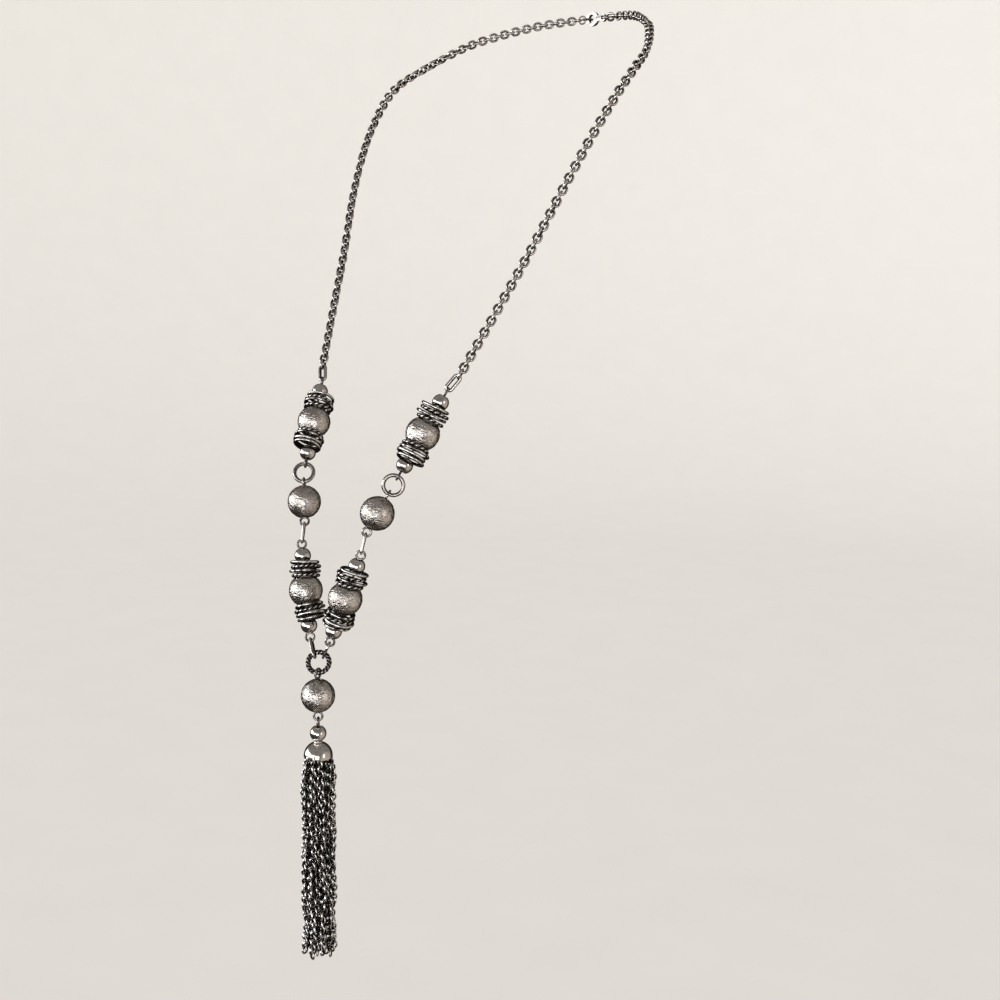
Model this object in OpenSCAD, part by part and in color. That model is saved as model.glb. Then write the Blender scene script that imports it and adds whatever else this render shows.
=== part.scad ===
// A long lariat necklace in its worn form, held up at the nape.
// Millimetres, +Z up, the wearer faces -Y, and the origin is at the nape.
// "left" and "right" are the wearer's, so the left strand is at +X.

/* [Beads] */
// Diameter of the seven large beads
bead_d = 15; // [14:0.5:15]
// Diameter of the small polished beads
small_d = 7.2; // [7:0.1:7.2]
// Bore through every bead, with a rim that the eye of the pin sits in
bore_d = 3.1; // [3:0.1:3.2]
// Distance from the middle of a cluster to each of its small beads
small_offset = 15.4; // [15.4:0.1:16]

/* [Pins and links] */
// Wire of the pins, their eyes and the small links
wire_d = 1; // [0.9:0.05:1]
// Outer diameter of the eye at each end of a pin
eye_d = 4.7; // [4.6:0.1:4.8]
// Outer diameter of the eye that hangs the drop from the textured ring
drop_eye_d = 5.2; // [5.2:0.1:5.4]
// Distance from the rim of a bead's bore to the eye that sits in it
eye_clear = 0.1; // [0.05:0.05:0.3]
// Outer width of the small oval links
oval_w = 4.2; // [4.2:0.1:5]
// Outer width of the oval link between a lower cluster and the textured ring
oval_low_w = 5; // [4.8:0.1:5.2]
// Outer length of the oval link between a large bead and the cluster under it
oval_mid_len = 9.8; // [8:0.1:12]
// Outer length of the oval link at the end of a chain
oval_end_len = 9.2; // [8:0.1:12]
// Clearance between two wires that hook through each other
hook_clear = 0.1; // [0.1:0.05:0.2]

/* [Rings] */
// Outer diameter of the plain jump rings
jump_d = 10.2; // [9:0.1:12]
// Wire of the plain jump rings
jump_wire_d = 1.7; // [1.4:0.05:1.7]
// Outer diameter of the textured ring that the drop hangs from
textured_d = 11.4; // [11:0.1:12]
// Wire of the textured ring
textured_wire_d = 2.3; // [1.8:0.1:2.3]
// How far the top of the textured ring leans back
ring_lean = 28; // [20:1:30]
// Angle from the top of the textured ring to where each strand hooks in
strand_angle = 32; // [28:1:36]
// Distance between the spacer rings of a stack
spacer_pitch = 1.9; // [1.85:0.05:1.95]
// Distance from the middle of a cluster to its nearest spacer ring
spacer_start = 6.6; // [6.6:0.1:6.8]

/* [Chain] */
// Outer diameter of a chain link
link_d = 4.7; // [4.6:0.05:4.8]
// Wire of a chain link
link_wire_d = 0.8; // [0.7:0.05:0.8]

/* [Clasp] */
// Outer diameter of the clasp's mouth
mouth_d = 7; // [6:0.1:8]
// Hole in the clasp's mouth
mouth_hole_d = 4; // [3.6:0.1:4.2]
// Outer diameter of the clasp's tail
tail_d = 3.6; // [3.4:0.1:4]
// Hole in the clasp's tail
tail_hole_d = 2; // [1.9:0.1:2.1]
// Distance from the clasp's mouth to its tail
clasp_len = 6.5; // [6:0.1:8]
// Thickness of the clasp
clasp_t = 2; // [1.6:0.1:2]
// Outer diameter of the ring that the clasp catches
clasp_ring_d = 5.7; // [5.4:0.1:6]
// Wire of the ring that the clasp catches
clasp_wire_d = 0.8; // [0.7:0.05:0.8]

/* [Tassel] */
// Outer diameter of the domed cap
cap_d = 12.6; // [12:0.1:14]
// Height of the straight skirt under the dome
cap_skirt = 0.7; // [0.7:0.1:1.5]
// Thickness of the cap
cap_wall = 0.8; // [0.6:0.1:1]
// Length of the tassel under the cap
tassel_len = 93; // [60:1:110]
// Diameter of a tassel strand
strand_d = 3; // [2.6:0.1:3.1]
// Strands round the outside of the tassel
outer_strands = 9; // [8:1:9]
// Strands round its middle
inner_strands = 5; // [4:1:5]

/* [Hidden] */
silver = [0.72, 0.71, 0.69];
dark_silver = [0.42, 0.41, 0.4];

// The curved faces of wire and beads are exact; this is only their preview
wire_fn = 16;
round_fn = 48;

// Middle of the textured ring, and which way the rings and eyes face
ring_at = [1.55, -197.2, -295.7];
face_azimuth = 38;
facing = [sin(face_azimuth), -cos(face_azimuth), 0];
sideways = [cos(face_azimuth), sin(face_azimuth), 0];
ring_up = [0, 0, cos(ring_lean)] - sin(ring_lean) * facing;

// Radii of the wires' middle lines
eye_r = (eye_d - wire_d) / 2;
drop_eye_r = (drop_eye_d - wire_d) / 2;
oval_r = (oval_w - wire_d) / 2;
jump_r = (jump_d - jump_wire_d) / 2;
textured_r = (textured_d - textured_wire_d) / 2;
link_r = (link_d - link_wire_d) / 2;
clasp_ring_r = (clasp_ring_d - clasp_wire_d) / 2;

// How far the middles of two hooked wires lap past each other
wire_lap = wire_d + hook_clear;
chain_lap = (wire_d + link_wire_d) / 2 + 2 * hook_clear;
jump_lap = (wire_d + jump_wire_d) / 2 + hook_clear;
textured_lap = (wire_d + textured_wire_d) / 2 + 2.5 * hook_clear;

// An eye sits in the rim of a bore: distance from a bead's middle to the eye's
function eye_seat(d) =
  sqrt(pow(d / 2, 2) - pow(bore_d / 2, 2)) + sqrt(pow(eye_d / 2, 2) - pow(bore_d / 2, 2)) + eye_clear;
cluster_eye = small_offset + eye_seat(small_d);
single_eye = eye_seat(bead_d);
cluster_span = 2 * (cluster_eye + eye_r);
single_span = 2 * (single_eye + eye_r);

// How far the link at the end of each chain is turned from the front: [left, right]
end_link_turn = [-8, -16];

// The pieces of a strand from the lower cluster up to the chain: [distance between the end
// wires' middles, radius of the end, lap on the piece below, direction out, back and up,
// whether the upper end lies across]
LOWER = 0;
MIDDLE_LINK = 1;
SINGLE = 2;
JUMP = 3;
UPPER = 4;
END_LINK = 5;
strand = [
  [cluster_span, eye_r, wire_lap, [29, 16, 94], false],
  [oval_mid_len - wire_d, oval_r, wire_lap, [8, 25, 96], true],
  [single_span, eye_r, wire_lap, [36, 33, 88], true],
  [2 * jump_r, jump_r, jump_lap, [34, 33, 88], false],
  [cluster_span, eye_r, jump_lap, [23, 47, 85], true],
  [oval_end_len - wire_d, oval_r, wire_lap, [46, 45, 77], false],
];
strand_start = [5.62, -195.15, -287.87];

// Where the chain lies, from the shoulder's front to the nape:
// [out, back, up, azimuth that the left links face, azimuth that the right ones face]
chain_rows = [
  [49, -138, -145, 32, 10],
  [56, -124, -119, 32, 10],
  [63, -111, -92.5, 34, 8],
  [68.5, -97, -68, 38, 4],
  [71.5, -83, -49, 46, -10],
  [72, -71, -37, 60, -34],
  [68, -56, -27, 84, -66],
  [55.5, -36, -14, 112, -104],
  [43, -22.5, -7.5, 132, -128],
  [29, -9.5, -2.5, 152, -150],
  [15, -1.5, -0.3, 172, -172],
];
route_steps = 6;

// Spacer rings of one stack: [outer diameter, wire, shift sideways, own tilt]
spacers = [
  [12.6, 1.6, 0.2, 0],
  [14, 1.4, -0.3, 1.5],
  [13.4, 1.6, 0.4, -0.5],
  [12.8, 1.4, -0.3, 1],
];

function unit(v) = v / norm(v);
function sided(p, side) = [side * p[0], p[1], p[2]];
function to_hundredths(v) = round(100 * v) / 100;

// Local frame: Z runs up the strand, X sideways and -Y is the side that faces out
function frame(at, along, out) =
  let (z = unit(along), x = unit(cross(z, out)), y = cross(z, x))
  [[x[0], y[0], z[0], at[0]], [x[1], y[1], z[1], at[1]], [x[2], y[2], z[2], at[2]], [0, 0, 0, 1]];

// A wire loop's point that lies furthest along a direction, from its middle, radius and normal
function loop_point(middle, r, normal, along) = middle + r * unit(along - (along * normal) * normal);
function axis(k, side, c) =
  let (m = frame([0, 0, 0], strand_dir(k, side), facing)) [m[0][c], m[1][c], m[2][c]];

// Each piece hooks over the end of the one below, at the point that faces along its own direction
function strand_dir(k, side) = unit(sided(strand[k][3], side));
function low_end(k, side) =
  k == 0 ? sided(strand_start, side)
         : hook_point(k - 1, side, strand_dir(k, side)) - strand[k][2] * strand_dir(k, side);
function top_end(k, side) = low_end(k, side) + strand[k][0] * strand_dir(k, side);
function hook_point(k, side, along) =
  let (r = strand[k][1])
  loop_point(top_end(k, side) - r * strand_dir(k, side), r, axis(k, side, strand[k][4] ? 0 : 1), along);

module on_strand(k, side) {
  multmatrix(frame((low_end(k, side) + top_end(k, side)) / 2, strand_dir(k, side), facing)) children();
}

// A ring of wire round the Y axis, so that it is seen open from the front
module wire_ring(middle_r, d) {
  rotate([90, 0, 0]) rotate_extrude($fn = round_fn) translate([middle_r, 0]) circle(d = d, $fn = wire_fn);
}

module across() {
  rotate([0, 0, 90]) children();
}

// A long link in the XZ plane with round ends
module oval_link(len, width, d) {
  end_r = (width - d) / 2;
  straight = len - width;
  for (up = [-1, 1]) {
    translate([0, 0, up * straight / 2]) rotate([90, up > 0 ? 0 : 180, 0])
      rotate_extrude(angle = 180, $fn = round_fn) translate([end_r, 0]) circle(d = d, $fn = wire_fn);
  }
  for (side = [-1, 1]) {
    translate([side * end_r, 0, 0]) cylinder(d = d, h = straight, center = true, $fn = wire_fn);
  }
}

// A pin of wire with an eye at each end, each eye open to the front or across
module eye_pin(eye_at, low_across, top_across) {
  stem = 2 * (eye_at - eye_r);
  cylinder(d = wire_d, h = stem, center = true, $fn = wire_fn);
  translate([0, 0, -eye_at]) rotate([0, 0, low_across ? 90 : 0]) wire_ring(eye_r, wire_d);
  translate([0, 0, eye_at]) rotate([0, 0, top_across ? 90 : 0]) wire_ring(eye_r, wire_d);
}

module drilled_bead(d) {
  difference() {
    sphere(d = d, $fn = round_fn);
    cylinder(d = bore_d, h = 2 * d, center = true, $fn = wire_fn * 2);
  }
}

// A stack leans as one round the middle of its large bead
module spacer_stack(lean, lean_azimuth) {
  rotate([0, 0, lean_azimuth]) rotate([lean, 0, 0])
    for (i = [0 : len(spacers) - 1]) {
      row = spacers[i];
      translate([row[2], 0, spacer_start + i * spacer_pitch]) rotate([90 + row[3], 0, 0])
        wire_ring((row[0] - row[1]) / 2, row[1]);
    }
}

module cluster_pin(k, side, low_across, top_across) {
  color(silver) on_strand(k, side) eye_pin(cluster_eye, low_across, top_across);
}

module cluster_bead(k, side) {
  color(silver) on_strand(k, side) drilled_bead(bead_d);
}

module cluster_small(k, side, up) {
  color(silver) on_strand(k, side) translate([0, 0, up * small_offset]) drilled_bead(small_d);
}

module cluster_rings(k, side, up, lean, lean_azimuth) {
  color(dark_silver) on_strand(k, side) rotate([up > 0 ? 0 : 180, 0, 0]) spacer_stack(lean, lean_azimuth);
}

// The route of a chain from the end link to its last link at the clasp
function route_points(side, last_x) = concat(
  [concat(top_end(END_LINK, side), side > 0 ? 30 : 12)],
  [for (row = chain_rows) concat(sided([row[0], row[1], row[2]], side), side > 0 ? row[3] : row[4])],
  [[side * last_x, 0, 0, side * 180]]
);
function spline(a, b, c, d, t) =
  0.5 * (2 * b + (c - a) * t + (2 * a - 5 * b + 4 * c - d) * t * t + (3 * b - a - 3 * c + d) * t * t * t);
function smooth(pts) = [
  for (i = [0 : len(pts) - 2]) for (k = [0 : route_steps - 1])
    spline(pts[max(i - 1, 0)], pts[i], pts[i + 1], pts[min(i + 2, len(pts) - 1)], k / route_steps),
  pts[len(pts) - 1]
];
function place_of(p) = [p[0], p[1], p[2]];
function run_to(pts) = [
  for (i = 0, run = 0; i < len(pts);
       run = run + (i + 1 < len(pts) ? norm(place_of(pts[i + 1]) - place_of(pts[i])) : 0), i = i + 1) run
];
function column(runs, pts, c) = [for (i = [0 : len(pts) - 1]) [runs[i], pts[i][c]]];

// The links turn a quarter from each to the next; parity says which way the last one lies
module chain(side, last_x, parity) {
  pts = smooth(route_points(side, last_x));
  runs = run_to(pts);
  tables = [for (c = [0 : 3]) column(runs, pts, c)];
  total = runs[len(runs) - 1];
  first = link_r - chain_lap;
  max_pitch = 2 * link_r - link_wire_d - hook_clear;
  count = ceil((total - first) / max_pitch) + 1;
  links = count % 2 == parity ? count : count + 1;
  pitch = (total - first) / (links - 1);
  reach = 1;
  for (i = [0 : links - 1]) {
    s = first + i * pitch;
    at = [for (c = [0 : 2]) lookup(s, tables[c])];
    ahead = [for (c = [0 : 2]) lookup(min(s + reach, total), tables[c])];
    behind = [for (c = [0 : 2]) lookup(max(s - reach, 0), tables[c])];
    azimuth = lookup(s, tables[3]);
    out = [sin(azimuth), -cos(azimuth), 0.1];
    multmatrix(frame(at, ahead - behind, out)) rotate([0, 0, i % 2 == 0 ? 90 : 0])
      wire_ring(link_r, link_wire_d);
  }
}

// Places along X at the nape: clasp mouth, its ring and the last links
tail_x = 4;
mouth_x = tail_x - clasp_len;
tail_rim = (tail_d - tail_hole_d) / 2;
mouth_rim = (mouth_d - mouth_hole_d) / 2;
tail_slack = 0.2;
ring_slack = 0.4;
last_left_x = tail_x + (tail_hole_d + tail_rim) / 2 + tail_slack;
clasp_ring_x = mouth_x - (mouth_hole_d + mouth_rim) / 2 - ring_slack;
clasp_lap = (clasp_wire_d + link_wire_d) / 2 + 1.5 * hook_clear;
last_right_x = -(clasp_ring_x - clasp_ring_r + clasp_lap - link_r);

module chain_left() {
  color(dark_silver) chain(1, last_left_x, 1);
}

module chain_right() {
  color(dark_silver) chain(-1, last_right_x, 0);
}

// One plain closed clasp, flat on the nape
module clasp() {
  neck_w = 2.6;
  color(silver) rotate([90, 0, 0]) linear_extrude(height = clasp_t, center = true) difference() {
    union() {
      translate([mouth_x, 0]) circle(d = mouth_d, $fn = round_fn);
      translate([tail_x, 0]) circle(d = tail_d, $fn = round_fn);
      translate([mouth_x, -neck_w / 2]) square([clasp_len, neck_w]);
    }
    translate([mouth_x, 0]) circle(d = mouth_hole_d, $fn = round_fn);
    translate([tail_x, 0]) circle(d = tail_hole_d, $fn = round_fn);
  }
}

module clasp_ring() {
  color(silver) translate([clasp_ring_x, 0, 0]) rotate([90, 0, 0]) wire_ring(clasp_ring_r, clasp_wire_d);
}

module end_link(side) {
  color(silver) on_strand(END_LINK, side) rotate([0, 0, end_link_turn[side > 0 ? 0 : 1]])
    oval_link(oval_end_len, oval_w, wire_d);
}

module middle_link(side) {
  color(silver) on_strand(MIDDLE_LINK, side) across() oval_link(oval_mid_len, oval_w, wire_d);
}

module jump_ring(side) {
  color(silver) on_strand(JUMP, side) wire_ring(jump_r, jump_wire_d);
}

module single_pin(side) {
  color(silver) on_strand(SINGLE, side) eye_pin(single_eye, false, true);
}

module single_bead(side) {
  color(silver) on_strand(SINGLE, side) drilled_bead(bead_d);
}

// Where a strand hooks into the textured ring, and the link between them
function ring_hook(side) =
  ring_at + textured_r * (side * sin(strand_angle) * sideways + cos(strand_angle) * ring_up);
module ring_link(side) {
  eye = low_end(LOWER, side) + eye_r * strand_dir(LOWER, side);
  hook = loop_point(eye, eye_r, axis(LOWER, side, 1), ring_hook(side) - eye);
  along = unit(hook - ring_hook(side));
  top = hook + wire_lap * along;
  bottom = ring_hook(side) - textured_lap * along;
  len = to_hundredths(norm(top - bottom) + wire_d);
  color(silver) multmatrix(frame((top + bottom) / 2, along, facing)) across()
    oval_link(len, oval_low_w, wire_d);
}

module textured_ring() {
  color(dark_silver) multmatrix(frame(ring_at, ring_up, facing)) wire_ring(textured_r, textured_wire_d);
}

// The drop hangs straight down from the foot of the textured ring, which heights are measured from
drop_at = ring_at - textured_r * ring_up;
drop_eye_turn = 65;
drop_eye_z = 0.3;
drop_eye_sink = 0.25;
drop_bead_z = drop_eye_z + drop_eye_d / 2 + bead_d / 2 - drop_eye_sink;
drop_low_eye_z = drop_bead_z + single_eye;
tassel_eye_z = drop_low_eye_z + eye_r - wire_lap + eye_r;
tassel_bead_z = tassel_eye_z + eye_seat(small_d);
cap_gap = 0.15;
collar_d = 3.6;
collar_h = 0.6;
cap_top_z = tassel_bead_z + sqrt(pow(small_d / 2, 2) - pow(bore_d / 2, 2)) + cap_gap;
collar_lap = 0.3;
dome_z = cap_top_z + collar_h + cap_d / 2 - collar_lap;
cap_bottom_z = dome_z + cap_skirt;
head_rise = 3;
tassel_top_z = dome_z - head_rise;
head_t = 1.6;
head_d = 9;
pin_hole_d = 1.1;
pin_ball_d = 2;

module hanging(down) {
  translate(drop_at) rotate([0, 0, face_azimuth]) translate([0, 0, -down]) children();
}

module drop_pin() {
  stem_top = drop_eye_z + drop_eye_r;
  stem_bottom = drop_low_eye_z - eye_r;
  color(silver) {
    hanging(drop_eye_z) rotate([0, 0, drop_eye_turn]) wire_ring(drop_eye_r, wire_d);
    hanging(drop_low_eye_z) wire_ring(eye_r, wire_d);
    hanging(stem_bottom) cylinder(d = wire_d, h = stem_bottom - stem_top, $fn = wire_fn);
  }
}

module drop_bead() {
  color(silver) hanging(drop_bead_z) drilled_bead(bead_d);
}

module tassel_pin() {
  stem_top = tassel_eye_z + eye_r;
  ball_clear = 0.2;
  stem_bottom = tassel_top_z + head_t + pin_ball_d / 2 + ball_clear;
  color(silver) {
    hanging(tassel_eye_z) across() wire_ring(eye_r, wire_d);
    hanging(stem_bottom) cylinder(d = wire_d, h = stem_bottom - stem_top, $fn = wire_fn);
    hanging(stem_bottom) sphere(d = pin_ball_d, $fn = wire_fn * 2);
  }
}

module tassel_bead() {
  color(silver) hanging(tassel_bead_z) drilled_bead(small_d);
}

// A hollow dome with a straight skirt and a collar on top
module tassel_cap() {
  inner_d = cap_d - 2 * cap_wall;
  color(silver) hanging(dome_z) difference() {
    union() {
      sphere(d = cap_d, $fn = round_fn);
      translate([0, 0, -cap_skirt]) cylinder(d = cap_d, h = cap_skirt, $fn = round_fn);
      cylinder(d = collar_d, h = dome_z - cap_top_z, $fn = round_fn);
    }
    sphere(d = inner_d, $fn = round_fn);
    translate([0, 0, -cap_d]) cylinder(d = inner_d, h = cap_d, $fn = round_fn);
    translate([0, 0, -cap_skirt - cap_d]) cylinder(d = 2 * cap_d, h = cap_d, $fn = round_fn);
    cylinder(d = pin_hole_d, h = cap_d, $fn = round_fn);
  }
}

// Strands of the tassel: a ring of them, each a little longer or shorter, fused to the head
module strand_ring(count, r, top_z, turn) {
  wander = 2.4;
  for (i = [0 : count - 1]) {
    down = cap_bottom_z + tassel_len - wander * (0.5 + 0.5 * sin(137 * i + turn));
    hanging(down) rotate([0, 0, turn + 360 * i / count]) translate([r, 0, 0])
      cylinder(d = strand_d, h = down - top_z, $fn = 24);
  }
}

// The pin's ball sits between the head inside the cap and the plate that gathers the strands
module tassel() {
  outer_r = 6.4;
  inner_r = 2.95;
  cap_clear = 0.3;
  plate_rim = 0.35;
  plate_z = cap_bottom_z + cap_clear;
  plate_d = 2 * (outer_r + plate_rim);
  color(dark_silver) {
    difference() {
      hanging(tassel_top_z + head_t) cylinder(d = head_d, h = head_t, $fn = round_fn);
      hanging(tassel_top_z + 2 * head_t) cylinder(d = pin_hole_d, h = 3 * head_t, $fn = round_fn);
    }
    strand_ring(inner_strands, inner_r, tassel_top_z + head_t / 2, 10);
    strand_ring(outer_strands, outer_r, plate_z + head_t / 2, 3);
    hanging(plate_z + head_t) cylinder(d = plate_d, h = head_t, $fn = round_fn);
  }
}

module lower_pin_left() { cluster_pin(LOWER, 1, false, false); }
module lower_pin_right() { cluster_pin(LOWER, -1, false, false); }
module upper_pin_left() { cluster_pin(UPPER, 1, true, true); }
module upper_pin_right() { cluster_pin(UPPER, -1, true, true); }
module lower_bead_left() { cluster_bead(LOWER, 1); }
module lower_bead_right() { cluster_bead(LOWER, -1); }
module upper_bead_left() { cluster_bead(UPPER, 1); }
module upper_bead_right() { cluster_bead(UPPER, -1); }
module lower_top_bead_left() { cluster_small(LOWER, 1, 1); }
module lower_top_bead_right() { cluster_small(LOWER, -1, 1); }
module lower_low_bead_left() { cluster_small(LOWER, 1, -1); }
module lower_low_bead_right() { cluster_small(LOWER, -1, -1); }
module upper_top_bead_left() { cluster_small(UPPER, 1, 1); }
module upper_top_bead_right() { cluster_small(UPPER, -1, 1); }
module upper_low_bead_left() { cluster_small(UPPER, 1, -1); }
module upper_low_bead_right() { cluster_small(UPPER, -1, -1); }
module lower_top_rings_left() { cluster_rings(LOWER, 1, 1, 6, 200); }
module lower_top_rings_right() { cluster_rings(LOWER, -1, 1, 5, 60); }
module lower_low_rings_left() { cluster_rings(LOWER, 1, -1, 5, 20); }
module lower_low_rings_right() { cluster_rings(LOWER, -1, -1, 7, 75); }
module upper_top_rings_left() { cluster_rings(UPPER, 1, 1, 5, 330); }
module upper_top_rings_right() { cluster_rings(UPPER, -1, 1, 4, 120); }
module upper_low_rings_left() { cluster_rings(UPPER, 1, -1, 6, 150); }
module upper_low_rings_right() { cluster_rings(UPPER, -1, -1, 5, 250); }
module end_link_left() { end_link(1); }
module end_link_right() { end_link(-1); }
module middle_link_left() { middle_link(1); }
module middle_link_right() { middle_link(-1); }
module jump_ring_left() { jump_ring(1); }
module jump_ring_right() { jump_ring(-1); }
module single_pin_left() { single_pin(1); }
module single_pin_right() { single_pin(-1); }
module single_bead_left() { single_bead(1); }
module single_bead_right() { single_bead(-1); }
module ring_link_left() { ring_link(1); }
module ring_link_right() { ring_link(-1); }

chain_left();
chain_right();
clasp();
clasp_ring();
end_link_left();
end_link_right();
upper_pin_left();
upper_bead_left();
upper_top_bead_left();
upper_low_bead_left();
upper_top_rings_left();
upper_low_rings_left();
upper_pin_right();
upper_bead_right();
upper_top_bead_right();
upper_low_bead_right();
upper_top_rings_right();
upper_low_rings_right();
jump_ring_left();
jump_ring_right();
single_pin_left();
single_bead_left();
single_pin_right();
single_bead_right();
middle_link_left();
middle_link_right();
lower_pin_left();
lower_bead_left();
lower_top_bead_left();
lower_low_bead_left();
lower_top_rings_left();
lower_low_rings_left();
lower_pin_right();
lower_bead_right();
lower_top_bead_right();
lower_low_bead_right();
lower_top_rings_right();
lower_low_rings_right();
ring_link_left();
ring_link_right();
textured_ring();
drop_pin();
drop_bead();
tassel_pin();
tassel_bead();
tassel_cap();
tassel();
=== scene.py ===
"""A long lariat necklace of antique silver beads and chain, hung in the form that it is worn in."""

import math

import bpy
import numpy as np
from mathutils import Matrix, Vector


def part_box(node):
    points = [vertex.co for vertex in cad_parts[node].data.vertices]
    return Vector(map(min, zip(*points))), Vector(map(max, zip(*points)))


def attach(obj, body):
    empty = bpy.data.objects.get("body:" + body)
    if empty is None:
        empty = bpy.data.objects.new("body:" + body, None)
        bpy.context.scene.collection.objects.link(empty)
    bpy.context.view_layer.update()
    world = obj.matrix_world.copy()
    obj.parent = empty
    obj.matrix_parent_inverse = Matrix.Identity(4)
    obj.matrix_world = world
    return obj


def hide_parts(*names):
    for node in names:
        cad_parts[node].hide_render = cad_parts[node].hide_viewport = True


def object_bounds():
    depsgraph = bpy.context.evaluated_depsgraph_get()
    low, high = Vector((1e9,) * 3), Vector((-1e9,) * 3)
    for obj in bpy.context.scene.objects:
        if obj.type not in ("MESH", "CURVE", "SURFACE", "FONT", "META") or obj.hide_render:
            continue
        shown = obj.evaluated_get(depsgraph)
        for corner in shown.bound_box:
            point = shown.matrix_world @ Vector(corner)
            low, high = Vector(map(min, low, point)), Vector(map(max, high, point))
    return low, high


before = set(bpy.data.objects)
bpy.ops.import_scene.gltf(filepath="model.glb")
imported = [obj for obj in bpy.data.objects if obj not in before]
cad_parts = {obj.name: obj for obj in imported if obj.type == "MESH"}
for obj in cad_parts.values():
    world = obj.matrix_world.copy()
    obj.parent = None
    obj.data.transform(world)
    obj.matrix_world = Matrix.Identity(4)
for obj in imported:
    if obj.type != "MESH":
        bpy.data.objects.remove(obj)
cad_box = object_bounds()

# Camera
# The photograph looks a little down on the front of the necklace, from the wearer's left.
# Its focal length is in pixels of a frame 1000 pixels wide.
CAMERA_AT = Vector((0.4418, -0.6210, -0.1272))
CAMERA_AZIMUTH = math.radians(38.82)
CAMERA_ELEVATION = math.radians(9.0)
CAMERA_ROLL = math.radians(0.94)
FOCAL_PIXELS = 1444.08
FRAME_PIXELS = 1000
SENSOR_MM = 36.0
NEAREST_SEEN = 0.01

level = Vector((math.cos(CAMERA_AZIMUTH), math.sin(CAMERA_AZIMUTH), 0))
back = Vector((math.sin(CAMERA_AZIMUTH), -math.cos(CAMERA_AZIMUTH), math.tan(CAMERA_ELEVATION)))
back.normalize()
upright = Matrix((level, back.cross(level), back)).transposed()
camera = bpy.data.objects.new("camera", bpy.data.cameras.new("camera"))
camera.data.sensor_width = SENSOR_MM
camera.data.lens = FOCAL_PIXELS / FRAME_PIXELS * SENSOR_MM
camera.data.clip_start = NEAREST_SEEN
rolled = upright @ Matrix.Rotation(CAMERA_ROLL, 3, "Z")
camera.matrix_world = Matrix.Translation(CAMERA_AT) @ rolled.to_4x4()
bpy.context.collection.objects.link(camera)
bpy.context.scene.camera = camera

# Chains
# Two rolo chains run from the front links over the shoulders to the nape. Each link is round silver
# wire, bent, soldered shut and blackened, then tumbled until only its inner side is still dark.
MM = 0.001
SAME_POINT = 0.002 * MM


def points_of(node):
    """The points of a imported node."""
    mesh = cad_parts[node].data
    points = np.empty(len(mesh.vertices) * 3)
    mesh.vertices.foreach_get("co", points)
    return points.reshape(-1, 3)


def loose_parts(node):
    """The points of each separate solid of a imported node."""
    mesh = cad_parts[node].data
    edges = np.empty(len(mesh.edges) * 2, int)
    mesh.edges.foreach_get("vertices", edges)
    grid = np.round(points_of(node) / SAME_POINT).astype(int)
    kept, where = np.unique(grid, axis=0, return_inverse=True)
    ends = where.ravel()[edges.reshape(-1, 2)]
    part = np.arange(len(kept))
    while True:
        lower = part.copy()
        low = part[ends].min(1)
        np.minimum.at(lower, part[ends[:, 0]], low)
        np.minimum.at(lower, part[ends[:, 1]], low)
        lower = lower[lower[lower]]
        if (lower == part).all():
            return [kept[part == p] * SAME_POINT for p in np.unique(part)]
        part = lower


def ring_of(points):
    """The middle, the axis, the wire's middle radius and the wire's radius of one packed ring."""
    middle = points.mean(0)
    axis = np.linalg.svd(points - middle, full_matrices=False)[2][2]
    height = (points - middle) @ axis
    out = np.linalg.norm(points - middle - np.outer(height, axis), axis=1)
    wire = (height.max() - height.min()) / 2
    return middle, axis, out.max() - wire, wire


def end_to_end(rings):
    """The rings of a chain in order, from its lowest one."""
    left = sorted(rings, key=lambda ring: ring[0][2])
    row = [left.pop(0)]
    while left:
        nearest = min(range(len(left)), key=lambda i: np.linalg.norm(left[i][0] - row[-1][0]))
        row.append(left.pop(nearest))
    return row


def closed_grid(around, across):
    """The faces of a tube that closes on itself both ways."""
    i, j = np.meshgrid(np.arange(around), np.arange(across), indexing="ij")
    i_next = (i + 1) % around
    j_next = (j + 1) % across
    corners = [i * across + j, i_next * across + j, i_next * across + j_next, i * across + j_next]
    return np.stack(corners, -1).reshape(-1, 4)


def piece(name, shapes, finish, body, node):
    """Joins shapes, each (points, faces, wear), into one piece that stands for the node."""
    starts = np.cumsum([0] + [len(shape[0]) for shape in shapes])
    points = np.concatenate([shape[0] for shape in shapes])
    faces = np.concatenate([shape[1] + start for shape, start in zip(shapes, starts)])
    wear_and_shade = np.concatenate([shape[2] for shape in shapes])
    mesh = bpy.data.meshes.new(name)
    mesh.vertices.add(len(points))
    mesh.vertices.foreach_set("co", points.astype(np.float32).ravel())
    mesh.loops.add(faces.size)
    mesh.loops.foreach_set("vertex_index", faces.astype(np.int32).ravel())
    mesh.polygons.add(len(faces))
    mesh.polygons.foreach_set("loop_start", np.arange(0, faces.size, 4, dtype=np.int32))
    mesh.update(calc_edges=True)
    # This attribute holds wear, and on the spacer rings and the tassel also painted shade.
    mesh.attributes.new("wear_and_shade", "FLOAT", "POINT").data.foreach_set("value", wear_and_shade.astype(np.float32))
    mesh.shade_smooth()
    mesh.materials.append(finish)
    made = bpy.data.objects.new(name, mesh)
    bpy.context.collection.objects.link(made)
    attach(made, body)
    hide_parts(node)


class Reading:
    """A shader socket that adds its own Math nodes when it is used in a sum."""

    def __init__(self, bench, socket):
        self.bench = bench
        self.socket = socket

    def maths(self, operation, first, second):
        return self.bench.node("Math", {"operation": operation}, {0: first, 1: second})

    def __add__(self, other):
        return self.maths("ADD", self, other)

    def __sub__(self, other):
        return self.maths("SUBTRACT", self, other)

    def __rsub__(self, other):
        return self.maths("SUBTRACT", other, self)

    def __mul__(self, other):
        return self.maths("MULTIPLY", self, other)

    __radd__ = __add__
    __rmul__ = __mul__


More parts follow.
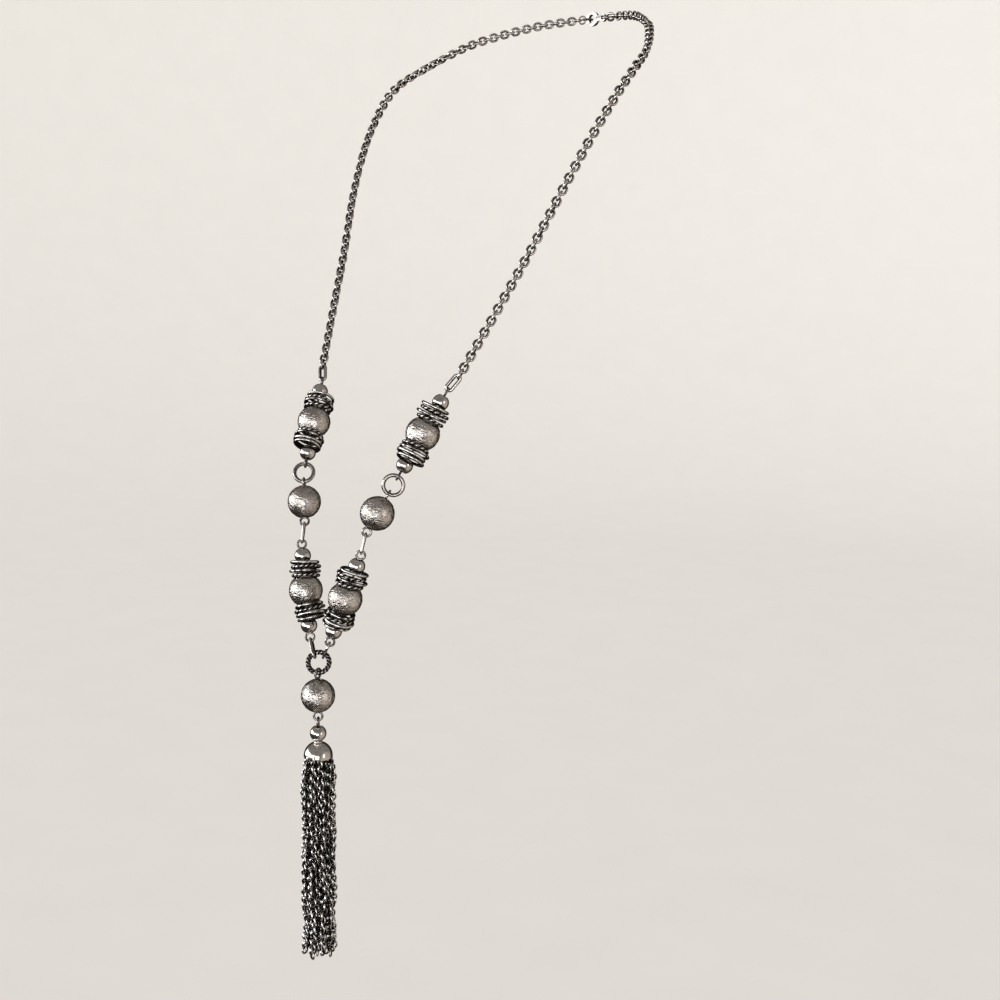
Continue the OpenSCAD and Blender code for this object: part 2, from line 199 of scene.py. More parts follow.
class Bench:
    """Where one finish is made: its node tree, and the one way of adding a node to it."""

    def __init__(self, tree):
        self.tree = tree
        tree.nodes.clear()

    def node(self, kind, settings, sockets, out=0):
        made = self.tree.nodes.new("ShaderNode" + kind)
        for name, value in settings.items():
            setattr(made, name, value)
        for name, value in sockets.items():
            if isinstance(value, Reading):
                self.tree.links.new(value.socket, made.inputs[name])
            else:
                made.inputs[name].default_value = value
        return Reading(self, made.outputs[out]) if made.outputs else made

    def place_in_mm(self, stretch=(1, 1, 1)):
        """The point on the piece in millimetres, with its axes stretched for streaks."""
        at = self.node("TexCoord", {}, {}, "Object")
        return self.node("VectorMath", {"operation": "MULTIPLY"}, {0: at, 1: Vector(stretch) / MM})

    def noise(self, place, scale, detail=2.0):
        return self.node("TexNoise", {}, {"Vector": place, "Scale": scale, "Detail": detail}, "Fac")

    def between(self, value, low, high):
        """0 below low and 1 above high, with a soft change between them."""
        ends = {"Value": value, "From Min": low, "From Max": high}
        return self.node("MapRange", {"interpolation_type": "SMOOTHSTEP"}, ends)

    def blend(self, share, first, second):
        return self.node("Mix", {"data_type": "RGBA"}, {0: share, 6: first, 7: second}, 2)


def metal(name, paint):
    """A metal whose colour, roughness and relief height in millimetres come from paint(bench)."""
    made = bpy.data.materials.new(name)
    made.use_nodes = True
    bench = Bench(made.node_tree)
    colour, roughness, height = paint(bench)
    relief = bench.node("Bump", {}, {"Strength": 1.0, "Distance": MM, "Height": height}, "Normal")
    skin = {"Base Color": colour, "Metallic": 1.0, "Roughness": roughness, "Normal": relief}
    shader = bench.node("BsdfPrincipled", {}, skin)
    bench.node("OutputMaterial", {}, {"Surface": shader})
    return made


GRAIN_BREAKS_WEAR = 0.9
CLOUD_BREAKS_WEAR = 0.5
BROWN_TARNISH = (1.9, 1.8, 1.7)
DULL_ROUGHNESS = 0.3
SMOOTHED_BY_RUBBING = 0.19


def blackened_and_shaded(black, bright, worn_from, worn_to):
    """Oxidised silver: black in the hollows, and rubbed bright where the wear_and_shade attribute
    is high. On the spacer rings and the tassel its low values are also painted shade.
    """

    def paint(bench):
        place = bench.place_in_mm()
        wear_and_shade = bench.node("Attribute", {"attribute_name": "wear_and_shade"}, {}, "Fac")
        grain = bench.noise(place, scale=2.2, detail=3.0)
        cloud = bench.noise(place, scale=0.35)
        fine = bench.noise(place, scale=9.0)
        uneven_wear_and_shade = wear_and_shade + (grain - 0.5) * GRAIN_BREAKS_WEAR + (cloud - 0.5) * CLOUD_BREAKS_WEAR
        rubbed_and_unshaded = bench.between(uneven_wear_and_shade, worn_from, worn_to)
        brown = [dark * warmer for dark, warmer in zip(black, BROWN_TARNISH)]
        dull = bench.blend(cloud, black, (*brown, 1))
        colour = bench.blend(rubbed_and_unshaded, dull, bright)
        roughness = DULL_ROUGHNESS - rubbed_and_unshaded * SMOOTHED_BY_RUBBING + fine * 0.1
        height = grain * 0.05 + fine * 0.01
        return colour, roughness, height

    return paint


chain_finish = metal(
    "blackened_chain_silver",
    blackened_and_shaded((0.03, 0.027, 0.025, 1), (0.68, 0.63, 0.58, 1), worn_from=0.6, worn_to=1.1),
)

LINK_LENGTH = 5.3 * MM
LINK_WIDTH = 4.5 * MM
LINK_WIRE = 1.15 * MM
LAST_LINK = (4.7 * MM, 4.5 * MM, 0.8 * MM)
LINK_STEPS = (20, 8)
LINK_SWAY = math.radians(5)
LINK_FACE_WORN = 0.85
chain_luck = np.random.default_rng(11)


def link_shape(middle, along, axis, length, width, wire, steps):
    """One round-wire link with its length along the chain: its points, faces and wear."""
    across = np.cross(axis, along)
    turn, side = np.meshgrid(
        (np.arange(steps[0]) + 0.5) / steps[0] * math.tau,
        np.linspace(0, math.tau, steps[1], endpoint=False),
        indexing="ij",
    )
    reach = (width - wire) / 2 + wire / 2 * np.cos(side)
    x = np.sign(np.cos(turn)) * (length - width) / 2 + reach * np.cos(turn)
    y = reach * np.sin(turn)
    z = wire / 2 * np.sin(side)
    points = middle + x[..., None] * along + y[..., None] * across + z[..., None] * axis
    wear_and_shade = (LINK_FACE_WORN + np.cos(side)).clip(0, 1)
    return points.reshape(-1, 3), closed_grid(*steps), wear_and_shade.ravel()


def swayed(axis, along, angle):
    """The axis turned about the line of the chain."""
    return math.cos(angle) * axis + math.sin(angle) * np.cross(along, axis)


def chain_links(node):
    """The links of one packed chain, with the last one kept small where it meets the clasp."""
    row = end_to_end([ring_of(points) for points in loose_parts(node)])
    middles = [ring[0] for ring in row]
    shapes = []
    for i, (middle, axis, _, _) in enumerate(row):
        run = middles[min(i + 1, len(row) - 1)] - middles[max(i - 1, 0)]
        run -= axis * (run @ axis)
        along = run / np.linalg.norm(run)
        axis = swayed(axis, along, chain_luck.normal(0, LINK_SWAY))
        at_clasp = i == len(row) - 1
        size = LAST_LINK if at_clasp else (LINK_LENGTH, LINK_WIDTH, LINK_WIRE)
        shapes.append(link_shape(middle, along, axis, *size, LINK_STEPS))
    return shapes


for side in ("left", "right"):
    node = "chain_" + side
    piece(node + "_links", chain_links(node), chain_finish, "strands", node)

# Clasp and eye pins
# The clasp is cast and its ring is drawn wire, both plain. The eye pins run through the beads, with
# a loop turned at each end. All are smoky antique silver with fine lengthwise scratches.


def drawn_wire(bench):
    place = bench.place_in_mm()
    streaks = bench.noise(bench.place_in_mm((6, 6, 1)), scale=1.4, detail=3.0)
    smoke = bench.between(bench.noise(place, scale=0.6), low=0.3, high=0.7)
    colour = bench.blend(smoke, (0.42, 0.39, 0.365, 1), (0.1, 0.092, 0.085, 1))
    roughness = 0.12 + smoke * 0.12 + streaks * 0.1
    return colour, roughness, streaks * 0.02


wire_finish = metal("antique_silver_wire", drawn_wire)


def dress(node, finish):
    """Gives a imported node, which keeps its own shape, its finish."""
    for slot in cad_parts[node].material_slots:
        slot.material = finish


WIRE_NODES = ["clasp", "clasp_ring", "drop_pin", "tassel_pin"]
for side in ("left", "right"):
    WIRE_NODES += [kind + side for kind in ("upper_pin_", "single_pin_", "lower_pin_")]
for node in WIRE_NODES:
    dress(node, wire_finish)

# Long links
# Oval links of thick wire join each chain to its upper cluster, each single bead to its lower
# cluster, and both strands to the textured ring. They are soldered shut, blackened and rubbed.
LONG_WIRES = {"end_link_": 1.5 * MM, "middle_link_": 1.15 * MM, "ring_link_": 1.15 * MM}
LONG_STEPS = (44, 12)
long_finish = metal(
    "rubbed_link_silver",
    blackened_and_shaded((0.03, 0.027, 0.025, 1), (0.6, 0.565, 0.53, 1), worn_from=0.3, worn_to=0.9),
)
for side in ("left", "right"):
    for kind, wire in LONG_WIRES.items():
        [points] = loose_parts(kind + side)
        middle = points.mean(0)
        along, across, axis = np.linalg.svd(points - middle, full_matrices=False)[2]
        length = np.ptp(points @ along)
        width = np.ptp(points @ across)
        shape = link_shape(middle, along, axis, length, width, wire, LONG_STEPS)
        piece(kind + side + "_wire", [shape], long_finish, "strands", kind + side)

# Large beads
# Seven hollow silver beads, each pressed in two halves, soldered, and planished with a small
# hammer, so that the skin is a net of small flats with fine creases. The bore has a rounded lip.
BORE = 1.55 * MM
LIP = 0.32 * MM
LIP_STEPS = 5
BORE_STEPS = 3
FLAT_WIDTH = 1.9 * MM
FLATS_SHOW = 0.8
BLOW_DEPTH = 0.003
FARTHEST_BLOW = 0.5
ON_SKIN = 0.999
CREASES = 40
CREASE_LENGTH = (1.1 * MM, 2.6 * MM)
CREASE_DEPTH = 0.035 * MM


def pin_line(pin):
    """Which way a pin runs through its beads."""
    points = points_of(pin)
    line = np.linalg.svd(points - points.mean(0), full_matrices=False)[2][0]
    return line * np.sign(line[2])


def bead_profile(radius, steps):
    """The closed outline of a drilled bead from its axis out: (distance from the axis, height)."""
    lip_out = BORE + LIP
    lip_up = math.sqrt((radius - LIP) ** 2 - lip_out ** 2)
    lip_turn = math.atan2(lip_up, lip_out)
    skin = [
        (radius * math.cos(t), radius * math.sin(t))
        for t in np.linspace(-lip_turn, lip_turn, steps)
    ]
    lip = [
        (lip_out + LIP * math.cos(t), lip_up + LIP * math.sin(t))
        for t in np.linspace(lip_turn, math.pi, LIP_STEPS + 1)[1:]
    ]
    wall = [(BORE, z) for z in np.linspace(lip_up, -lip_up, BORE_STEPS + 2)[1:-1]]
    low_lip = [(r, -z) for r, z in reversed(lip)]
    return np.array(skin + lip + wall + low_lip)


def turned(profile, around):
    """The points and faces of a closed outline turned round the Z axis."""
    turn = np.linspace(0, math.tau, around, endpoint=False)[:, None]
    x = np.cos(turn) * profile[:, 0]
    y = np.sin(turn) * profile[:, 0]
    z = np.broadcast_to(profile[:, 1], x.shape)
    return np.stack([x, y, z], -1).reshape(-1, 3), closed_grid(around, len(profile))


def set_on(points, middle, line):
    """Points made round Z, moved to a middle and turned so that Z lies along a line."""
    aside = np.cross(line, (0, 1, 0))
    aside /= np.linalg.norm(aside)
    return middle + points @ np.stack([aside, np.cross(line, aside), line])


def planished(points, radius, luck):
    """Flattens the skin of a bead into small hammered facets."""
    count = int(4 * math.pi * radius ** 2 / FLAT_WIDTH ** 2)
    blows = luck.normal(size=(count, 3))
    blows /= np.linalg.norm(blows, axis=1)[:, None]
    depth = radius * (1 - luck.uniform(0, BLOW_DEPTH, count))
    reach = np.linalg.norm(points, axis=1)
    toward = points / reach[:, None]
    facing = (toward @ blows.T).clip(FARTHEST_BLOW, 1)
    facet = (depth / facing).min(1)
    flat = np.minimum(1, facet / radius)
    ways = luck.normal(size=(CREASES, 3))
    ways /= np.linalg.norm(ways, axis=1)[:, None]
    ways *= math.tau / luck.uniform(*CREASE_LENGTH, CREASES)[:, None]
    starts = luck.uniform(0, math.tau, CREASES)
    waves = np.sin(points @ ways.T + starts).sum(1) / math.sqrt(CREASES / 2)
    crease = CREASE_DEPTH * (waves - waves.max()) / radius
    skin = reach > radius * ON_SKIN
    return points * np.where(skin, 1 - FLATS_SHOW * (1 - flat) + crease, 1)[:, None]


def satin_skin(bench):
    """Brushed silver with smoky patches, crossed scratches, and dark lines in its creases."""
    place = bench.place_in_mm()
    crease = bench.noise(bench.place_in_mm((0.8, 0.8, 2.2)), scale=0.9, detail=5.0)
    scratch = bench.noise(bench.place_in_mm((1, 7, 5)), scale=1.5)
    cross_scratch = bench.noise(bench.place_in_mm((6, 1, 8)), scale=1.3)
    smoke = bench.between(bench.noise(place, scale=0.22, detail=3.0), low=0.35, high=0.7)
    cut = bench.between(crease, low=0.47, high=0.53)
    tarnish = bench.between(crease, low=0.42, high=0.33)
    colour = bench.blend(smoke, (0.74, 0.69, 0.645, 1), (0.5, 0.46, 0.425, 1))
    colour = bench.blend(tarnish, colour, (0.14, 0.126, 0.115, 1))
    roughness = 0.1 + smoke * 0.07 + scratch * 0.06
    height = crease * 0.24 + cut * 0.016 + scratch * 0.01 + cross_scratch * 0.01
    return colour, roughness, height


bead_finish = metal("planished_satin_silver", satin_skin)
BEAD_STEPS = (200, 104)


def drilled_bead(node, pin, steps, luck=None):
    """A bead on its pin. With luck it is hammered, and else it stays smooth."""
    low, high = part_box(node)
    middle = np.array((low + high) / 2)
    radius = np.linalg.norm(points_of(node) - middle, axis=1).max()
    points, faces = turned(bead_profile(radius, steps[1]), steps[0])
    if luck is not None:
        points = planished(points, radius, luck)
    wear_and_shade = np.abs(points[:, 2]) / radius
    return set_on(points, middle, pin_line(pin)), faces, wear_and_shade


LARGE_BEADS = [("drop_bead", "drop_pin", "drop")]
for side in ("left", "right"):
    for place in ("upper", "single", "lower"):
        LARGE_BEADS.append((f"{place}_bead_{side}", f"{place}_pin_{side}", "strands"))
for seed, (node, pin, body) in enumerate(LARGE_BEADS):
    shape = drilled_bead(node, pin, BEAD_STEPS, np.random.default_rng(seed))
    piece(node + "_shell", [shape], bead_finish, body, node)

# Small beads
# Nine small seamless silver beads, one at each end of the four clusters and one over the tassel.
# They are turned and polished bright, and only the bores have darkened.


def bright_skin(bench):
    place = bench.place_in_mm()
    wear_and_shade = bench.node("Attribute", {"attribute_name": "wear_and_shade"}, {}, "Fac")
    smoke = bench.between(bench.noise(place, scale=0.5, detail=3.0), low=0.4, high=0.75)
    dull = bench.between(wear_and_shade, low=0.8, high=1.0)
    hairs = bench.noise(bench.place_in_mm((9, 2, 9)), scale=1.2)
    shade = bench.blend(smoke, (0.72, 0.68, 0.64, 1), (0.46, 0.43, 0.4, 1))
    colour = bench.blend(dull, shade, (0.10, 0.09, 0.08, 1))
    roughness = 0.12 + smoke * 0.1 + dull * 0.3
    return colour, roughness, hairs * 0.006


bright_finish = metal("polished_bead_silver", bright_skin)
SMALL_STEPS = (64, 40)
SMALL_BEADS = [("tassel_bead", "tassel_pin", "tassel_drop")]
for side in ("left", "right"):
    for place in ("upper", "lower"):
        for end in ("top", "low"):
            SMALL_BEADS.append((f"{place}_{end}_bead_{side}", f"{place}_pin_{side}", "strands"))
for node, pin, body in SMALL_BEADS:
    shape = drilled_bead(node, pin, SMALL_STEPS)
    piece(node + "_turned", [shape], bright_finish, body, node)

# Spacer rings
# Four rings lie loose on the pin between a large and a small bead. Thick silver wire is twisted,
# hammered or left plain, bent into rings and soldered. The sides of each wire that face the
# neighbouring rings are painted black, as painted shade between the rings.
TWISTED = 0
HAMMERED = 1
PLAIN = 2
RING_STEPS = (132, 14)
RING_WARP = 0.16 * MM
TWISTS = (8, 10)
TWIST_DEPTH = 0.22
BLOWS = (7, 10)
DENT_DEPTH = 0.07
PLAIN_UNEVEN = 0.02


def wire_section(kind, turn, side, wire, luck):
    """How thick the wire of a ring is at each turn round the ring and the wire, and its wear with
    painted shade on the sides that face the neighbouring rings.
    """
    # The crown of the wire faces out of the stack; its sides, which face the neighbouring rings,
    # are painted dark as shade.
    crown = np.cos(side).clip(0, 1)
    if kind == TWISTED:
        twists = luck.integers(*TWISTS)
        lay = np.abs(np.cos(side - twists * turn))
        return wire * (1 - TWIST_DEPTH * (1 - lay)), lay ** 2 * (0.35 + 0.6 * crown)
    starts = luck.uniform(0, math.tau, 3)
    blows = luck.integers(*BLOWS)
    dent = np.cos(blows * turn + 1.6 * np.sin(3 * turn + starts[0]) + 1.2 * np.cos(side))
    if kind == HAMMERED:
        return wire * (1 - DENT_DEPTH * (1 - dent)), crown ** 1.5 * (0.75 + 0.3 * dent)
    uneven = np.sin(2 * turn + starts[1])
    return wire * (1 - PLAIN_UNEVEN * (1 - uneven)), crown * (0.9 + 0.1 * dent)


def wire_ring(ring, kind, steps, luck):
    """A ring of patterned wire in the place of a packed ring."""
    middle, axis, radius, wire = ring
    turn, side = np.meshgrid(
        np.linspace(0, math.tau, steps[0], endpoint=False),
        np.linspace(0, math.tau, steps[1], endpoint=False),
        indexing="ij",
    )
    thick, wear_and_shade = wire_section(kind, turn, side, wire, luck)
    warps = luck.uniform(0, math.tau, 2)
    warp = RING_WARP * (0.7 * np.sin(2 * turn + warps[0]) + 0.3 * np.sin(3 * turn + warps[1]))
    reach = radius + thick * np.cos(side)
    rise = thick * np.sin(side) + warp
    points = np.stack([reach * np.cos(turn), reach * np.sin(turn), rise], -1).reshape(-1, 3)
    return set_on(points, middle, axis), closed_grid(*steps), wear_and_shade.ravel()


spacer_finish = metal(
    "blackened_and_shaded_ring_silver",
    blackened_and_shaded((0.022, 0.02, 0.018, 1), (0.72, 0.685, 0.65, 1), worn_from=0.35, worn_to=0.85),
)
SPACER_KINDS = {
    "upper_top": (TWISTED, HAMMERED, TWISTED, PLAIN),
    "upper_low": (TWISTED, HAMMERED, PLAIN, PLAIN),
    "lower_top": (TWISTED, HAMMERED, TWISTED, PLAIN),
    "lower_low": (HAMMERED, TWISTED, PLAIN, HAMMERED),
}
SIDE_SEEDS = {"left": 7, "right": 0}
for side in ("left", "right"):
    for stack, kinds in SPACER_KINDS.items():
        node = f"{stack}_rings_{side}"
        low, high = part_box(stack.split("_")[0] + "_bead_" + side)
        bead = np.array((low + high) / 2)
        rings = [ring_of(points) for points in loose_parts(node)]
        rings.sort(key=lambda ring: np.linalg.norm(ring[0] - bead))
        luck = np.random.default_rng(len(node) + kinds[0] + SIDE_SEEDS[side])
        shapes = [wire_ring(ring, kind, RING_STEPS, luck) for ring, kind in zip(rings, kinds)]
        piece(node + "_wires", shapes, spacer_finish, "strands", node)

# Jump rings
# One plain ring of thick wire on each side joins the upper cluster to the bead below. It is cut
# from a coil and closed, and the hairline joint shows.
jump_finish = metal(
    "antique_ring_silver",
    blackened_and_shaded((0.1, 0.092, 0.085, 1), (0.42, 0.39, 0.365, 1), worn_from=0.1, worn_to=0.5),
)
JOINT_TURN = 2.2
JOINT_HALF_WIDTH = 0.012
JOINT_DEPTH = 0.1
JUMP_AROUND = 112
JUMP_ACROSS = 20
JUMP_WORN = 0.35
JUMP_RIM_WORN = 0.3
for side in ("left", "right"):
    node = "jump_ring_" + side
    middle, axis, radius, wire = ring_of(loose_parts(node)[0])
    joint = JOINT_TURN + JOINT_HALF_WIDTH * np.array([-2, -1, -0.5, 0, 0.5, 1, 2])
    turns = np.sort(np.concatenate([np.linspace(0, math.tau, JUMP_AROUND, endpoint=False), joint]))
    edges = np.linspace(0, math.tau, JUMP_ACROSS, endpoint=False)
    turn, edge = np.meshgrid(turns, edges, indexing="ij")
    gap = np.clip(1 - np.abs(turn - JOINT_TURN) / JOINT_HALF_WIDTH, 0, 1)
    thick = wire * (1 - JOINT_DEPTH * gap)
    reach = radius + thick * np.cos(edge)
    points = np.stack([reach * np.cos(turn), reach * np.sin(turn), thick * np.sin(edge)], -1)
    worn = (JUMP_WORN + JUMP_RIM_WORN * np.cos(edge)) * (1 - gap)
    placed = set_on(points.reshape(-1, 3), middle, axis)
    shape = (placed, closed_grid(len(turns), JUMP_ACROSS), worn.ravel())
    piece(node + "_wire", [shape], jump_finish, "strands", node)

# Textured ring
# A heavy ring of three wires twisted into a rope joins both strands, and the drop hangs from it.
# It is blackened, and only the crests of the rope are worn bright.
ROPE_WIRES = 3
ROPE_TWISTS = 9
ROPE_DEPTH = 0.26
ROPE_STEPS = (260, 36)
rope_finish = metal(
    "blackened_rope_silver",
    blackened_and_shaded((0.018, 0.016, 0.015, 1), (0.74, 0.71, 0.68, 1), worn_from=0.82, worn_to=1.15),
)
middle, axis, radius, wire = ring_of(loose_parts("textured_ring")[0])
turn, side = np.meshgrid(
    np.linspace(0, math.tau, ROPE_STEPS[0], endpoint=False),
    np.linspace(0, math.tau, ROPE_STEPS[1], endpoint=False),
    indexing="ij",
)
strand = np.abs(np.cos(ROPE_WIRES / 2 * side - ROPE_TWISTS * turn))
thick = wire * (1 - ROPE_DEPTH * (1 - strand))
reach = radius + thick * np.cos(side)
points = np.stack([reach * np.cos(turn), reach * np.sin(turn), thick * np.sin(side)], -1)
placed = set_on(points.reshape(-1, 3), middle, axis)
shape = (placed, closed_grid(*ROPE_STEPS), strand.ravel())
piece("textured_ring_rope", [shape], rope_finish, "strands", "textured_ring")

# Tassel cap
# A spun silver dome with a rolled rim and a small collar at its top. It is polished, and hides
# the ends of the tassel's chains.
CAP_WALL = 0.8 * MM
CAP_ROUND = 0.25 * MM
COLLAR_RADIUS = 1.8 * MM
COLLAR_HEIGHT = 0.3 * MM
COLLAR_FOOT = 0.35 * MM
PIN_HOLE = 0.55 * MM
CAP_AROUND = 96


def arc(middle_out, middle_up, radius, first, last, steps):
    """Points on an arc of the outline, with the angles in degrees from straight out."""
    turns = np.radians(np.linspace(first, last, steps))
    return [(middle_out + radius * math.cos(t), middle_up + radius * math.sin(t)) for t in turns]


cap_low, cap_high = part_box("tassel_cap")
cap_middle = (cap_low + cap_high) / 2
cap_radius = (cap_high.x - cap_low.x) / 2
cap_height = cap_high.z - cap_low.z
dome_up = cap_height - COLLAR_HEIGHT - cap_radius
collar_foot = math.degrees(math.acos((COLLAR_RADIUS + CAP_ROUND) / cap_radius))
hole_turn = math.degrees(math.acos(PIN_HOLE / (cap_radius - CAP_WALL)))
outline = arc(cap_radius - CAP_ROUND, CAP_ROUND, CAP_ROUND, -90, 0, 6)
outline += arc(0, dome_up, cap_radius, 0, collar_foot, 40)
outline += [(COLLAR_RADIUS, cap_height - COLLAR_FOOT)]
outline += arc(COLLAR_RADIUS - CAP_ROUND, cap_height - CAP_ROUND, CAP_ROUND, 0, 90, 6)
outline += [(PIN_HOLE, cap_height)]
outline += arc(0, dome_up, cap_radius - CAP_WALL, hole_turn, 0, 24)
outline += arc(cap_radius - CAP_WALL + CAP_ROUND, CAP_ROUND, CAP_ROUND, 180, 270, 6)
points, faces = turned(np.array(outline), CAP_AROUND)
foot = np.array((cap_middle.x, cap_middle.y, cap_low.z))
shape = (points + foot, faces, np.zeros(len(points)))
piece("tassel_cap_dome", [shape], bright_finish, "tassel_drop", "tassel_cap")

# Tassel
# Fourteen fine cable chains hang from two wire rings inside the cap. Their round links are
# blackened silver, and lie at all angles, so that only some of them glint. The side of each link
# that faces the middle of the tassel is painted darker as shade, and the side facing out lighter.
TASSEL_LINK = 3.9 * MM
TASSEL_WIRE = 0.85 * MM
TASSEL_PITCH = 2.1 * MM
TASSEL_LINK_ROUND = 0.94
TASSEL_STEPS = (14, 6)
tassel_finish = metal(
    "blackened_and_shaded_tassel_silver",
    blackened_and_shaded((0.01, 0.009, 0.008, 1), (0.9, 0.87, 0.84, 1), worn_from=0.85, worn_to=1.2),
)
tassel_luck = np.random.default_rng(5)
tassel_low, tassel_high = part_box("tassel")
tassel_middle = (tassel_low + tassel_high) / 2
OUTER_CHAINS = 9
INNER_CHAINS = 5
OUTER_REACH = (5.0 * MM, 6.15 * MM)
INNER_REACH = (2.2 * MM, 3.1 * MM)
SPREAD_LENGTH = 10 * MM
ENDS_DIFFER = 2.4 * MM
WANDER_OUT = 0.3 * MM
WANDER_OUT_LENGTH = 4 * MM
WANDER_ROUND = 0.14
WANDER_ROUND_LENGTH = 6 * MM
LEAN = 0.12
LEAN_LENGTHS = (5 * MM, 6 * MM)
LINK_TURN_DIFFERS = 0.3
TWIST_DRIFTS = 0.12
INWARD_PAINTED_SHADE = 0.6
HANGING_WIRE = 0.5 * MM
HANGING_STEPS = (48, 8)
OUTER_HANGS = 0.6 * MM
INNER_HANGS = 1.2 * MM
FIRST_CHAIN = 0.3


def tassel_chain(turn, reach, top, bottom):
    """One chain of the tassel, from its hanging ring down to its last link."""
    shapes = []
    wander = tassel_luck.uniform(0, math.tau, 4)
    twist = tassel_luck.uniform(0, math.pi)
    height = top
    link = 0
    while height > bottom:
        fall = top - height
        spread = min(1, fall / SPREAD_LENGTH)
        out = reach[0] + (reach[1] - reach[0]) * math.sin(spread * math.pi / 2)
        out += WANDER_OUT * math.sin(fall / WANDER_OUT_LENGTH + wander[0])
        around = turn + WANDER_ROUND * math.sin(fall / WANDER_ROUND_LENGTH + wander[1])
        middle = np.array((
            tassel_middle.x + out * math.cos(around),
            tassel_middle.y + out * math.sin(around),
            height,
        ))
        lean = np.array((
            LEAN * math.sin(fall / LEAN_LENGTHS[0] + wander[2]),
            LEAN * math.sin(fall / LEAN_LENGTHS[1] + wander[3]),
            -1,
        ))
        along = lean / np.linalg.norm(lean)
        facing = twist + link * math.pi / 2 + tassel_luck.normal(0, LINK_TURN_DIFFERS)
        axis = np.array((math.cos(facing), math.sin(facing), 0))
        axis -= along * (axis @ along)
        axis /= np.linalg.norm(axis)
        size = (TASSEL_LINK, TASSEL_LINK * TASSEL_LINK_ROUND, TASSEL_WIRE)
        points, faces, wear_and_shade = link_shape(middle, along, axis, *size, TASSEL_STEPS)
        outward = np.array((math.cos(around), math.sin(around), 0))
        # Painted shade: each link is darker on its side towards the middle of the tassel and
        # lighter on its outer side.
        outside = (points - middle) @ outward / TASSEL_LINK
        shapes.append((points, faces, wear_and_shade + INWARD_PAINTED_SHADE * outside))
        twist += tassel_luck.normal(0, TWIST_DRIFTS)
        height -= TASSEL_PITCH
        link += 1
    return shapes


def hanging_ring(radius, height):
    """The wire ring inside the cap that the chains hang from."""
    middle = np.array((tassel_middle.x, tassel_middle.y, height))
    ring = (middle, np.array((0, 0, 1.0)), radius, HANGING_WIRE)
    return wire_ring(ring, PLAIN, HANGING_STEPS, tassel_luck)


strands_of_tassel = []
for count, reach, top in (
    (OUTER_CHAINS, OUTER_REACH, cap_low.z + OUTER_HANGS),
    (INNER_CHAINS, INNER_REACH, cap_low.z + INNER_HANGS),
):
    strands_of_tassel.append(hanging_ring(reach[0], top + TASSEL_LINK / 2))
    for i in range(count):
        end = tassel_low.z + TASSEL_LINK / 2 + tassel_luck.uniform(0, ENDS_DIFFER)
        strands_of_tassel += tassel_chain(math.tau * (i + FIRST_CHAIN) / count, reach, top, end)
piece("tassel_chains", strands_of_tassel, tassel_finish, "tassel_drop", "tassel")

# Studio
# A bowl of pale paper closes round the object, so that it shows behind it from all sides. The light
# is that of a room: pale above, cream on the left, dark beyond the object, and with four windows
# beside and behind the camera.
PAPER_DROP = 0.06
PAPER_RADIUS = 2.2
PAPER_BEND = 1.0
PAPER_WALL = 2.5
PAPER_AROUND = 96
PAPER_GLOW = 2.35


def pale_paper():
    """Matt paper with a glow of its own, so that it stays pale behind the object."""
    made = bpy.data.materials.new("pale_paper")
    made.use_nodes = True
    bench = Bench(made.node_tree)
    place = bench.place_in_mm()
    fibre = bench.noise(place, scale=0.02, detail=4.0)
    colour = bench.blend(fibre, (0.265, 0.253, 0.236, 1), (0.277, 0.265, 0.247, 1))
    relief = bench.node("Bump", {}, {"Strength": 0.1, "Distance": MM, "Height": fibre}, "Normal")
    skin = {
        "Base Color": colour,
        "Roughness": 0.9,
        "Emission Color": colour,
        "Emission Strength": PAPER_GLOW,
        "Normal": relief,
    }
    bench.node("OutputMaterial", {}, {"Surface": bench.node("BsdfPrincipled", {}, skin)})
    return made


floor_z = cad_box[0].z - PAPER_DROP
outline = arc(PAPER_RADIUS - PAPER_BEND, floor_z + PAPER_BEND, PAPER_BEND, -90, 0, 24)
outline += [(PAPER_RADIUS, floor_z + PAPER_WALL)]
rows = len(outline)
paper_points, paper_grid = turned(np.array(outline), PAPER_AROUND)
top_to_middle = np.arange(len(paper_grid)) % rows == rows - 1
paper_faces = paper_grid[~top_to_middle].tolist()
paper_faces.append([i * rows for i in reversed(range(PAPER_AROUND))])
paper_mesh = bpy.data.meshes.new("paper")
paper_mesh.from_pydata([tuple(p) for p in paper_points], [], paper_faces)
paper_mesh.shade_smooth()
paper_mesh.materials.append(pale_paper())
paper = bpy.data.objects.new("paper", paper_mesh)
bpy.context.collection.objects.link(paper)
paper.visible_glossy = False
paper.visible_diffuse = False
paper.visible_shadow = False

world = bpy.data.worlds.new("room")
world.use_nodes = True
bpy.context.scene.world = world
room = Bench(world.node_tree)
toward = room.node("TexCoord", {}, {}, "Generated")
UP = Vector((0, 0, 1))


def facing_share(direction, low, high):
    """How far a direction in the room lies towards another: 0 below low and 1 above high."""
    unit = direction.normalized()
    dot = room.node("VectorMath", {"operation": "DOT_PRODUCT"}, {0: toward, 1: unit}, "Value")
    return room.between(dot, low, high)


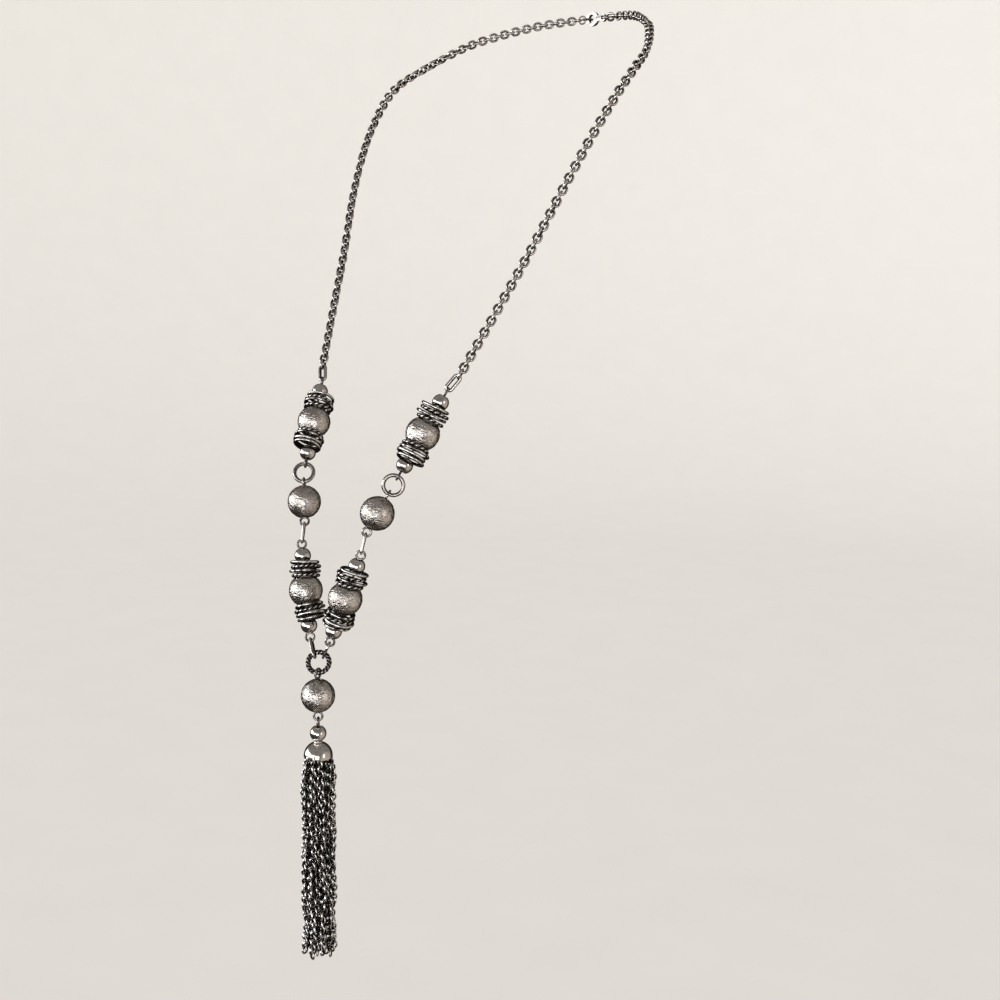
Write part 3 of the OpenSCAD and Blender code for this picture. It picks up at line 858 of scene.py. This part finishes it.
def seen_from_camera(left, up, near):
    """A direction given as the camera has it: to the left, up, and back towards the camera."""
    return -left * level + up * UP + near * back


WINDOW_EDGE = 0.06
SILL_EDGE = 0.05
COOLER = 1.01


def with_window(shade, left_turn, right_turn, low, high, strength):
    """Adds a window between two heights and between two turns.

    The turns are in degrees from straight behind the camera towards its right.
    """
    left, right = math.radians(left_turn), math.radians(right_turn)
    past_left = seen_from_camera(-math.cos(left), 0, -math.sin(left))
    short_of_right = seen_from_camera(math.cos(right), 0, math.sin(right))
    over_sill = facing_share(UP, low, low + SILL_EDGE)
    under_top = facing_share(UP, high + SILL_EDGE, high)
    across = facing_share(past_left, 0, WINDOW_EDGE) * facing_share(short_of_right, 0, WINDOW_EDGE)
    glass = across * (over_sill * under_top)
    return room.blend(glass, shade, (strength, strength, strength * COOLER, 1))


shade = room.blend(facing_share(UP, -0.5, 0.5), (0.08, 0.07, 0.063, 1), (0.26, 0.246, 0.232, 1))
cream = facing_share(seen_from_camera(-1.0, -0.4, 0.35), 0.45, 0.95)
shade = room.blend(cream, shade, (0.56, 0.5, 0.44, 1))
gloom = facing_share(seen_from_camera(0.8, -0.75, 0.25), 0.55, 0.85)
shade = room.blend(gloom, shade, (0.05, 0.045, 0.04, 1))
far_side = facing_share(seen_from_camera(0, 0, -1), 0.4, 0.75)
shade = room.blend(far_side, shade, (0.03, 0.027, 0.025, 1))
WINDOWS = (
    {"left_turn": -118, "right_turn": -60, "low": -0.12, "high": 0.3, "strength": 5.2},
    {"left_turn": -60, "right_turn": -18, "low": -0.1, "high": 0.2, "strength": 3.8},
    {"left_turn": -18, "right_turn": 14, "low": -0.3, "high": 0.1, "strength": 4.8},
    {"left_turn": 44, "right_turn": 60, "low": -0.1, "high": 0.25, "strength": 3.0},
)
for pane in WINDOWS:
    shade = with_window(shade, **pane)
light = room.node("Background", {}, {"Color": shade, "Strength": 1.0})
room.node("OutputWorld", {}, {"Surface": light})

bpy.context.scene.view_settings.view_transform = "Standard"
